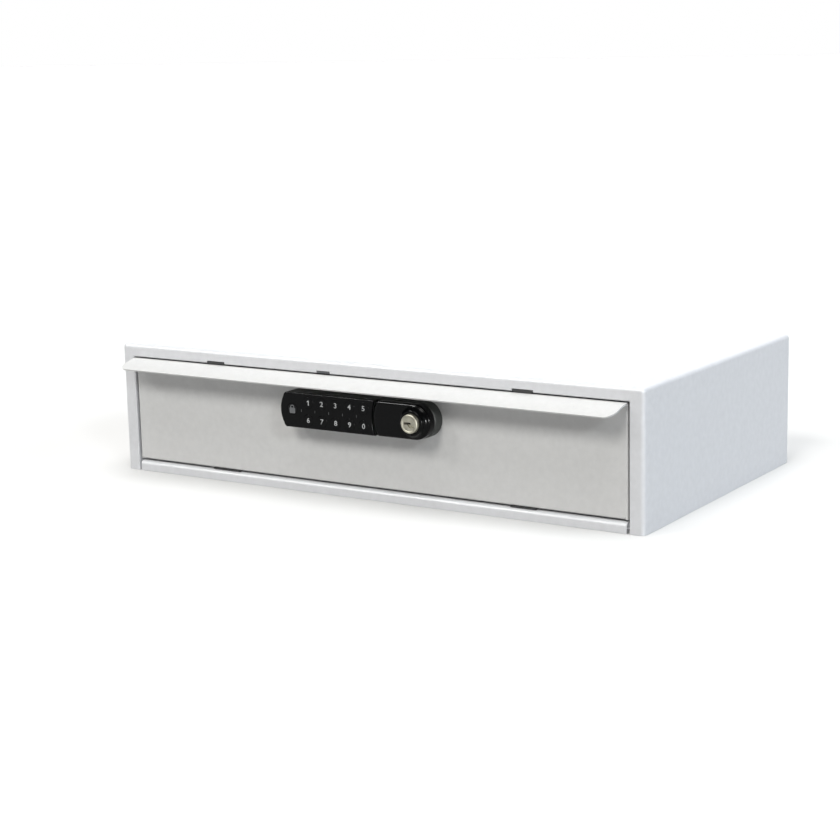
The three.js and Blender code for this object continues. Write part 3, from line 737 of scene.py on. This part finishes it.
def drawerFace():
    low = panelLow.z
    faceY = frontY + pull["inset"]
    foldTop = pull["foldTop"]
    rows = lipRows(faceY, panelHigh.z - pull["sheet"] + pull["rise"])
    rootZ = rows[0][0][2]
    outline = sideEdge(1, faceRight, low, rootZ) + sideEdge(-1, faceLeft, low, rootZ)[::-1]
    polygons = [[(x, faceY, z) for x, z in outline]]
    for (left, right), (nextLeft, nextRight) in zip(rows, rows[1:]):
        polygons.append([left, right, nextRight, nextLeft])
    sideY = faceY + pull["sideFold"]
    for x in (-faceLeft, faceRight):
        polygons.append([(x, faceY, low), (x, faceY, foldTop), (x, sideY, foldTop), (x, sideY, low)])
    lowLeft = -faceLeft + pull["relief"]
    lowRight = faceRight - pull["relief"]
    lowY = faceY + pull["lowFold"]
    polygons.append([(lowLeft, faceY, low), (lowRight, faceY, low),
                     (lowRight, lowY, low), (lowLeft, lowY, low)])
    bm = skinFrom(polygons)
    faceTowards(bm, (0, -1, 0))

    def isFold(a, b):
        if any(abs(p.y - faceY) > near for p in (a, b)):
            return False
        upright = any(all(abs(p.x - x) < near and p.z < foldTop + near for p in (a, b))
                      for x in (-faceLeft, faceRight))
        level = all(abs(p.z - low) < near and lowLeft - near < p.x < lowRight + near for p in (a, b))
        return upright or level

    roundFolds(bm, isFold, pull["foldBend"], 5)
    face = meshObject("drawerFace", bm)
    thicken(face, pull["sheet"])
    hole = rodBetween("spindleHole", pivot, pull["spindleHole"], faceY - clear, faceY + clear)
    combine(face, [hole], "DIFFERENCE")
    softenEdges(face, pull["edge"])
    finishPiece(face, "front_coat", "drawer", "drawer_front")


tray = {
    "sheet": 1 * mm,
    "bend": 2 * mm,
    "frontHigh": 44 * mm,
    "frontEar": 14 * mm,
    "edge": 0.3 * mm,
}


def drawerTray():
    low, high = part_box("drawer_tray")
    half = high.x
    ear = half - tray["frontEar"]
    dip = tray["frontHigh"]
    front = [(-half, low.z), (half, low.z), (half, high.z), (ear, high.z), (ear, dip), (-ear, dip),
             (-ear, high.z), (-half, high.z)]
    polygons = [[(-half, low.y, low.z), (half, low.y, low.z),
                 (half, high.y, low.z), (-half, high.y, low.z)],
                [(-half, high.y, low.z), (half, high.y, low.z),
                 (half, high.y, high.z), (-half, high.y, high.z)],
                [(x, low.y, z) for x, z in front]]
    for side in (-1, 1):
        polygons.append([(side * half, low.y, low.z), (side * half, high.y, low.z),
                         (side * half, high.y, high.z), (side * half, low.y, high.z)])
    bm = skinFrom(polygons)
    faceTowards(bm, (0, 0, -1))
    roundFolds(bm, lambda a, b: True, tray["bend"], 5)
    body = meshObject("drawerTray", bm)
    thicken(body, tray["sheet"])
    softenEdges(body, tray["edge"], 2)
    finishPiece(body, "tray_coat", "drawer", "drawer_tray")


# telescopic slides: every member is a rolled channel; a roll is (curl of the lip, bend radius)
slide = {
    "sheet": 1.2 * mm,
    "edge": 0.2 * mm,
    "outerRoll": (2.2 * mm, 1.8 * mm),
    "middleRoll": (1 * mm, 1.2 * mm),
    "backRoll": (0.9 * mm, 0.7 * mm),
    "innerRoll": (1.6 * mm, 1.4 * mm),
    "middleWeb": 0.33,
    "rivetRadius": 2.6 * mm,
    "rivetPlaces": (0.12, 0.5, 0.88),
    "innerHoles": (0.06, 0.24, 0.37, 0.63, 0.76),
    "middleHoles": (0.08, 0.3, 0.5, 0.7, 0.92),
    "holeRadius": 2.4 * mm,
    "holeReach": 3 * mm,
}


def rolledChannel(name, node, webX, lipX, roll):
    low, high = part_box(node)
    middle = (low.z + high.z) / 2
    halfHigh = (high.z - low.z) / 2
    curl, bend = roll
    section = [(lipX, -halfHigh + curl), (lipX, -halfHigh), (webX, -halfHigh), (webX, halfHigh),
               (lipX, halfHigh), (lipX, halfHigh - curl)]
    polygons = [[(x0, low.y, middle + z0), (x1, low.y, middle + z1), (x1, high.y, middle + z1),
                 (x0, high.y, middle + z0)] for (x0, z0), (x1, z1) in zip(section, section[1:])]
    bm = skinFrom(polygons)
    faceTowards(bm, (1 if webX > lipX else -1, 0, 0))
    roundFolds(bm, lambda a, b: True, bend, 4)
    channel = meshObject(name, bm)
    thicken(channel, slide["sheet"])
    softenEdges(channel, slide["edge"], 2)
    return channel


def joinInto(thing, others):
    bm = bmesh.new()
    for piece in [thing, *others]:
        bm.from_mesh(piece.data)
    bm.to_mesh(thing.data)
    bm.free()
    for other in others:
        bpy.data.objects.remove(other)


def pierceWeb(channel, node, webX, shares):
    # round holes through the flat back of a channel
    low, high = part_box(node)
    reach = slide["holeReach"]
    holes = []
    for share in shares:
        hole = rodBetween("webHole", Vector((0, 0, 0)), slide["holeRadius"], -reach, reach, 28)
        place = Vector((webX, low.y + (high.y - low.y) * share, (low.z + high.z) / 2))
        hole.data.transform(Matrix.Translation(place) @ Matrix.Rotation(math.radians(90), 4, "Z"))
        holes.append(hole)
    combine(channel, holes, "DIFFERENCE")


def slideMembers(sideName, side):
    outerNode, middleNode, innerNode = (f"slide_{part}_{sideName}" for part in ("outer", "middle", "inner"))
    innerLow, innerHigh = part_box(innerNode)

    def across(node):
        # (the side nearer the cabinet wall, the side nearer the tray)
        low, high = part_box(node)
        return (high.x, low.x) if side > 0 else (low.x, high.x)

    wallX, lipX = across(outerNode)
    outer = rolledChannel("slideOuter" + sideName, outerNode, wallX, lipX, slide["outerRoll"])
    finishPiece(outer, "zinc", "cabinet", "slide_outer_" + sideName)

    farX, nearX = across(middleNode)
    webX = farX + (nearX - farX) * slide["middleWeb"]
    middle = rolledChannel("slideMiddle" + sideName, middleNode, webX, nearX, slide["middleRoll"])
    back = rolledChannel("slideMiddleBack", middleNode, webX, farX, slide["backRoll"])
    for channel in (middle, back):
        pierceWeb(channel, middleNode, webX, slide["middleHoles"])
    joinInto(middle, [back])
    finishPiece(middle, "zinc", "slide_" + sideName, "slide_middle_" + sideName)

    lipX, webX = across(innerNode)
    inner = rolledChannel("slideInner" + sideName, innerNode, webX, lipX, slide["innerRoll"])
    pierceWeb(inner, innerNode, webX, slide["innerHoles"])
    rivets = []
    for share in slide["rivetPlaces"]:
        y = innerLow.y + (innerHigh.y - innerLow.y) * share
        place = Vector((webX + side * slide["sheet"], y, (innerLow.z + innerHigh.z) / 2))
        rivets.append(rivetHead(place, side))
    joinInto(inner, rivets)
    finishPiece(inner, "zinc", "drawer", "slide_inner_" + sideName)


def rivetHead(place, side):
    # a low dome whose axis lies along X, facing the cabinet wall
    radius = slide["rivetRadius"]
    profile = [(0, -1.1 * mm), (radius * 0.5, -0.95 * mm), (radius * 0.85, -0.55 * mm), (radius, 0),
               (0, 0.1 * mm)]
    head = turnedFrom("rivet", Vector((0, 0, 0)), profile, 24)
    turn = Matrix.Rotation(math.radians(-90 * side), 4, "Z")
    head.data.transform(Matrix.Translation(place) @ turn)
    return head


screw = {"headHigh": 2.2 * mm, "crossLong": 0.62, "crossWide": 0.9 * mm, "crossDeep": 1.3 * mm}


def panScrew(name, node, body, shankRadius):
    # the head points to +Y
    low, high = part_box(node)
    middle = (low + high) / 2
    radius = (high.x - low.x) / 2
    seat = high.y - screw["headHigh"]
    profile = [(0, high.y), (radius * 0.45, high.y - 0.12 * mm), (radius * 0.8, high.y - 0.6 * mm),
               (radius * 0.97, high.y - 1.3 * mm), (radius, seat + 0.3 * mm), (radius * 0.97, seat),
               (shankRadius, seat), (shankRadius, low.y + 0.6 * mm), (shankRadius * 0.6, low.y), (0, low.y)]
    head = turnedFrom(name, middle, profile, 40)
    long = radius * screw["crossLong"]
    wide = screw["crossWide"] / 2
    deep = high.y - screw["crossDeep"]
    bars = [blockBetween(name + "BarX", (middle.x - long, deep, middle.z - wide),
                         (middle.x + long, high.y + 0.001, middle.z + wide)),
            blockBetween(name + "BarZ", (middle.x - wide, deep, middle.z - long),
                         (middle.x + wide, high.y + 0.001, middle.z + long))]
    combine(head, bars, "DIFFERENCE")
    finishPiece(head, "zinc", body, node)


# the lock: foot, keypad body and cover, ten keys, then the lever with its collar and key plug
lock = {
    "halfHigh": 13.1 * mm,
    "leftX": -62.8 * mm,
    "leftRadius": 21 * mm,
    "leftCorner": 3.2 * mm,
    "bodyArc": 36.4 * mm,
    "footRound": 13.4 * mm,
    "footDepth": 8 * mm,
    "bodyDepth": 13.5 * mm,
    "faceDepth": 15.3 * mm,
    "seam": 0.25 * mm,
    "faceEdge": 1.45 * mm,
    "footEdge": 1.6 * mm,
    "keyHole": 4.45 * mm,
    "wallOverlap": 0.05 * mm,
    "pocketX": (-45 * mm, 17.6 * mm),
    "pocketHalf": 12 * mm,
    "pocketFloor": 8.4 * mm,
    "spindleBore": 5.4 * mm,
    "lensRecess": 4.5 * mm,
    "lensDepth": 1 * mm,
    "coverEdge": 0.12 * mm,
}


def keypadOutline():
    # closed on the right by an arc round the lever's axis
    rise = lock["halfHigh"]
    arcRadius = lock["bodyArc"]
    arc = math.degrees(math.asin(rise / arcRadius))
    corner = lock["leftCorner"]
    bulge = lock["leftRadius"]
    centreX = lock["leftX"] + bulge
    bow = math.degrees(math.asin((rise - corner) / bulge))
    outline = arcPoints((pivot.x, pivot.z), arcRadius, 180 + arc, 180 - arc, 28)
    start = Vector((centreX - math.cos(math.radians(bow)) * bulge, pivot.z + rise - corner))
    end = Vector((start.x + corner * 0.9, pivot.z + rise))
    elbow = Vector((start.x + corner * 0.35, pivot.z + rise))
    upper = [end * (1 - t) ** 2 + elbow * 2 * t * (1 - t) + start * t ** 2
             for t in (i / 8 for i in range(9))]
    outline += [tuple(point) for point in upper]
    outline += arcPoints((centreX, pivot.z), bulge, 180 - bow, 180 + bow, 24)[1:-1]
    outline += [(point.x, 2 * pivot.z - point.y) for point in reversed(upper)]
    return outline


def lockBody():
    wallY = frontY + pull["inset"] - lock["wallOverlap"]
    rise = lock["halfHigh"]
    lean = math.degrees(math.asin(rise / lock["footRound"]))
    outline = arcPoints((pivot.x, pivot.z), lock["footRound"], -lean, lean, 30)
    outline = [(0.0, pivot.z - rise), *outline, (0.0, pivot.z + rise)]
    foot = plateFrom("lockBody", outline, frontY - lock["footDepth"], wallY, lock["footEdge"])
    block = plateFrom("keypadBlock", keypadOutline(), frontY - lock["bodyDepth"], wallY)
    left, right = lock["pocketX"]
    half = lock["pocketHalf"]
    pocket = blockBetween("keyPocket", (left, frontY - lock["bodyDepth"] - clear, pivot.z - half),
                          (right, frontY - lock["pocketFloor"], pivot.z + half))
    bore = rodBetween("spindleBore", pivot, lock["spindleBore"],
                      frontY - lock["footDepth"] - clear, frontY + clear)
    combine(foot, [block], "UNION")
    combine(foot, [pocket, bore], "DIFFERENCE")
    # the lock body takes the lighter copy of the black plastic: painted sheen on its top side
    finishPiece(foot, "lock_black", "drawer", "lock_base", angle=28, finish="lock_black_painted_sheen")


keyNodes = [f"key_{n}" for n in range(10)]


def centreOf(node):
    low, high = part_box(node)
    return (low + high) / 2


def keypadCover():
    front = frontY - lock["faceDepth"]
    cover = plateFrom("keypadCover", keypadOutline(), front, frontY - lock["bodyDepth"] - lock["seam"],
                      lock["faceEdge"])
    cutters = [rodBetween(node + "Hole", centreOf(node), lock["keyHole"], front - clear, front + clear)
               for node in keyNodes]
    cutters.append(rodBetween("lensRecess", centreOf("status_lens"), lock["lensRecess"],
                              front - clear, front + lock["lensDepth"]))
    combine(cover, cutters, "DIFFERENCE")
    softenEdges(cover, lock["coverEdge"], 2, 50)
    finishPiece(cover, "lock_black", "drawer", "keypad_cover", angle=28)


keys = {
    "radius": 4.37 * mm,
    "proud": 0.15 * mm,
    "round": 0.3 * mm,
    "crown": (0.04 * mm, 0.03 * mm),
    "skirt": 0.6 * mm,
    "digitHigh": 3.8 * mm,
    "digitBold": 0.014,
    "digitWide": 1.12,
    "ink": 0.05 * mm,
}


def keyCap(node):
    low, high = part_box(node)
    radius = keys["radius"]
    face = frontY - lock["faceDepth"] - keys["proud"]
    crown, edge = keys["crown"]
    brim = radius + keys["skirt"]
    brimY = high.y - keys["skirt"]
    profile = [(0, face - crown), (radius * 0.6, face - edge)] + roundOver(radius, face, keys["round"])
    profile += [(radius, brimY), (brim, brimY), (brim, high.y), (0, high.y)]
    cap = turnedFrom("keyCap" + node[-1], (low + high) / 2, profile, 56)
    finishPiece(cap, "lock_black", node, node, angle=28)
    digit = glyphShape(node[-1], keys["digitHigh"], keys["digitBold"], keys["digitWide"])
    inkMark("keyDigit" + node[-1], digit, centreOf(node), face - edge, "digitInk", node)


def glyphShape(text, high, bold, wide):
    # the character as a flat mesh standing in X and Z, centred on the origin
    if text == "1":
        one = [(0.03, -0.5), (0.25, -0.5), (0.25, 0.5), (0.09, 0.5), (-0.2, 0.3), (-0.2, 0.1),
               (0.03, 0.24)]
        return outlineShape([(x * high, z * high) for x, z in one])
    curve = bpy.data.curves.new("glyph", "FONT")
    curve.body = text
    curve.offset = bold
    curve.resolution_u = 6
    letter = bpy.data.objects.new("glyph", curve)
    bpy.context.scene.collection.objects.link(letter)
    bpy.context.view_layer.update()
    shape = bpy.data.meshes.new_from_object(letter.evaluated_get(bpy.context.evaluated_depsgraph_get()))
    bpy.data.objects.remove(letter)
    bm = bmesh.new()
    bm.from_mesh(shape)
    xs = [v.co.x for v in bm.verts]
    ys = [v.co.y for v in bm.verts]
    grow = high / (max(ys) - min(ys))
    middleX = (max(xs) + min(xs)) / 2
    middleY = (max(ys) + min(ys)) / 2
    for v in bm.verts:
        v.co = Vector(((v.co.x - middleX) * grow * wide, 0, (v.co.y - middleY) * grow))
    return bm


def inkMark(name, bm, place, y, inkName, body):
    # printed ink has a little body of its own
    bmesh.ops.remove_doubles(bm, verts=bm.verts, dist=weldGap)
    made = bmesh.ops.extrude_face_region(bm, geom=list(bm.faces))
    moved = [v for v in made["geom"] if isinstance(v, bmesh.types.BMVert)]
    bmesh.ops.translate(bm, verts=moved, vec=(0, -keys["ink"], 0))
    bmesh.ops.recalc_face_normals(bm, faces=bm.faces)
    mark = meshObject(name, bm)
    mark.data.transform(Matrix.Translation((place.x, y, place.z)))
    mark.data.materials.append(inks[inkName])
    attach(mark, body)
    return mark


def outlineShape(outline):
    bm = bmesh.new()
    bm.faces.new([bm.verts.new((x, 0, z)) for x, z in outline])
    return bm


marks = {
    "tickHigh": 1.9 * mm,
    "tickWide": 0.5 * mm,
    "tickRound": 0.2 * mm,
    "padlockWide": 5.0 * mm,
    "padlockHigh": 4.2 * mm,
    "padlockRound": 0.7 * mm,
    "sunk": 0.02 * mm,
}


def coverMarks():
    face = frontY - lock["faceDepth"]
    row = sorted((centreOf(f"key_{n}") for n in (1, 2, 3, 4, 5)), key=lambda c: c.x)
    pitch = row[1].x - row[0].x
    wide = marks["tickWide"] / 2
    high = marks["tickHigh"] / 2
    for i, place in enumerate(row):
        tick = outlineShape(roundedBar((-wide, wide), (-high, high), marks["tickRound"], 3))
        spot = Vector((place.x - pitch / 2, 0, pivot.z))
        inkMark(f"rowTick{i + 1}", tick, spot, face, "tickInk", "drawer")

    # a plain padlock sign on the status lens
    place = centreOf("status_lens")
    face += marks["sunk"]
    wide = marks["padlockWide"] / 2
    high = marks["padlockHigh"]
    top = high * 0.25
    bodyShape = outlineShape(roundedBar((-wide, wide), (-high * 0.75, top), marks["padlockRound"]))
    inkMark("padlockBody", bodyShape, place, face, "signInk", "drawer")
    outer = wide * 0.72
    inner = wide * 0.42
    ring = arcPoints((0, high * 0.35), outer, 0, 180, 16)
    inside = arcPoints((0, high * 0.35), inner, 180, 0, 16)
    shackle = outlineShape([(outer, top), *ring, (-outer, top), (-inner, top), *inside, (inner, top)])
    inkMark("padlockShackle", shackle, place, face, "signInk", "drawer")


def statusLens():
    low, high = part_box("status_lens")
    radius = (high.x - low.x) / 2
    profile = [(0, low.y), (radius - 0.4 * mm, low.y), (radius - 0.12 * mm, low.y + 0.1 * mm),
               (radius, low.y + 0.4 * mm), (radius, high.y), (0, high.y)]
    lens = turnedFrom("statusLens", (low + high) / 2, profile, 56)
    finishPiece(lens, "lens", "drawer", "status_lens", angle=28)


lever = {
    "halfHigh": 13.0 * mm,
    "reach": 35.2 * mm,
    "endRound": 24 * mm,
    "rear": 8.3 * mm,
    "edge": 1.9 * mm,
    "bore": 7.3 * mm,
    "boreEnd": 11 * mm,
}


def turnLever():
    high = lever["halfHigh"]
    arc = math.degrees(math.asin(high / lever["endRound"]))
    endCentre = (pivot.x - lever["reach"] + lever["endRound"], pivot.z)
    outline = arcPoints((pivot.x, pivot.z), high, -90, 90, 40)
    outline += arcPoints(endCentre, lever["endRound"], 180 - arc, 180 + arc, 28)
    front = frontY - lock["faceDepth"]
    grip = plateFrom("turnLever", outline, front, frontY - lever["rear"], lever["edge"], 6)
    bore = rodBetween("plugBore", pivot, lever["bore"], front - clear, frontY - lever["boreEnd"])
    combine(grip, [bore], "DIFFERENCE")
    finishPiece(grip, "lock_black", "lever", "turn_lever", angle=28)


collar = {
    "radius": 11.7 * mm,
    "nose": 9.4 * mm,
    "noseRound": 0.8 * mm,
    "depth": 19.8 * mm,
    "bore": 7.25 * mm,
    "seam": 0.1 * mm,
}


def hubCollar():
    rear = frontY - lock["faceDepth"] + collar["seam"]
    front = frontY - collar["depth"]
    nose = collar["nose"]
    bore = collar["bore"]
    base = collar["radius"]
    profile = [(bore, rear), (bore, front + 0.5 * mm), (bore + 0.5 * mm, front)]
    profile += roundOver(nose, front, collar["noseRound"], (0, 20, 40, 60, 75))
    profile += [(nose + 0.25 * mm, front + 1.8 * mm), (nose + 0.75 * mm, front + 3.2 * mm),
                (base - 0.6 * mm, rear - 0.55 * mm), (base, rear - 0.2 * mm), (base, rear), (bore, rear)]
    finishPiece(turnedFrom("hubCollar", pivot, profile, 96), "lock_black", "lever", "hub_ring", angle=40)


plug = {
    "radius": 7 * mm,
    "edge": 0.9 * mm,
    "rim": 5.6 * mm,
    "dish": 0.35 * mm,
    "keyLong": 4.3 * mm,
    "keyDeep": 8 * mm,
    "shutterDeep": 2.2 * mm,
    "ahead": 2 * mm,
    "cutEdge": 0.1 * mm,
}


def keyPlug():
    low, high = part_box("key_plug")
    face = low.y
    rim = plug["rim"]
    profile = [(0, face + plug["dish"]), (rim - 0.4 * mm, face + plug["dish"]),
               (rim, face + 0.08 * mm), (rim + 0.15 * mm, face)]
    profile += roundOver(plug["radius"], face, plug["edge"])
    profile += [(plug["radius"], high.y), (0, high.y)]
    barrel = turnedFrom("keyPlug", pivot, profile, 80)
    # the keyway, and a shallow shutter step down to the right of it
    long = plug["keyLong"]
    keyway = [(-long, -0.5 * mm), (long * 0.1, -0.5 * mm), (long * 0.4, 0.1 * mm),
              (long * 0.3, 1.1 * mm), (-long, 1.1 * mm)]
    shutter = [(long * 0.05, -2.6 * mm), (long * 0.9, -2.6 * mm), (long, -1.1 * mm),
               (long * 0.6, -0.9 * mm), (long * 0.3, 0.6 * mm), (-long * 0.4, -0.4 * mm)]
    cuts = []
    for name, outline, deep in (("keyway", keyway, plug["keyDeep"]),
                                ("shutter", shutter, plug["shutterDeep"])):
        spots = [(pivot.x + x, pivot.z + z) for x, z in outline]
        cuts.append(plateFrom(name, spots, face - plug["ahead"], face + deep))
    combine(barrel, cuts, "DIFFERENCE")
    softenEdges(barrel, plug["cutEdge"], 2, 50)
    finishPiece(barrel, "nickel", "plug", "key_plug", angle=28)


# parts that keep the shape they came with: how far their edges are rounded, in millimetres
edgeWidths = {
    "slide_bracket": 0.4, "top_bumper": 0.5, "strike_plate": 0.4, "divider": 0.25, "key_mat": 0.2,
    "circuit_board": 0.15, "lock_case": 0.8, "battery_cover": 0.6, "battery_upper": 0.5,
    "battery_lower": 0.5, "lock_motor": 0.5, "spindle_bush": 0.4, "lever_spindle": 0.4,
    "lock_cam": 0.35, "cam_nut": 0.4,
}
otherEdgeWidth = 0.3


def dressFrameParts():
    slots = {part["node"]: part["material_slot"] for part in frame["record"]["subparts"]}
    for name, node in frame["nodes"].items():
        if node.hide_render:
            continue
        width = next((w for start, w in edgeWidths.items() if name.startswith(start)), otherEdgeWidth)
        weld = node.modifiers.new("weld", "WELD")
        weld.merge_threshold = 0.00001
        edge = node.modifiers.new("edges", "BEVEL")
        edge.width = width * mm
        edge.segments = 3
        edge.limit_method = "ANGLE"
        edge.angle_limit = math.radians(40)
        edge.use_clamp_overlap = True
        edge.harden_normals = True
        node.data.materials.clear()
        node.data.materials.append(finishes["dull_steel" if name == "centre_catch" else slots[name]])


placeCamera()
placeLights()
placeFloor()
cabinetWrap()
cabinetPan()
cabinetEars()
print("cabinet folded")

drawerFace()
drawerTray()
for sideName, side in (("left", -1), ("right", 1)):
    slideMembers(sideName, side)
print("drawer and slides made")

for n in range(1, 5):
    panScrew(f"backScrew{n}", f"back_screw_{n}", "cabinet", 1.5 * mm)
    panScrew(f"frontScrew{n}", f"front_screw_{n}", "drawer", 1.6 * mm)
print("screws made")

lockBody()
keypadCover()
statusLens()
for node in keyNodes:
    keyCap(node)
coverMarks()
turnLever()
hubCollar()
keyPlug()
print("lock made")

dressFrameParts()
bpy.context.scene.view_settings.view_transform = "Standard"
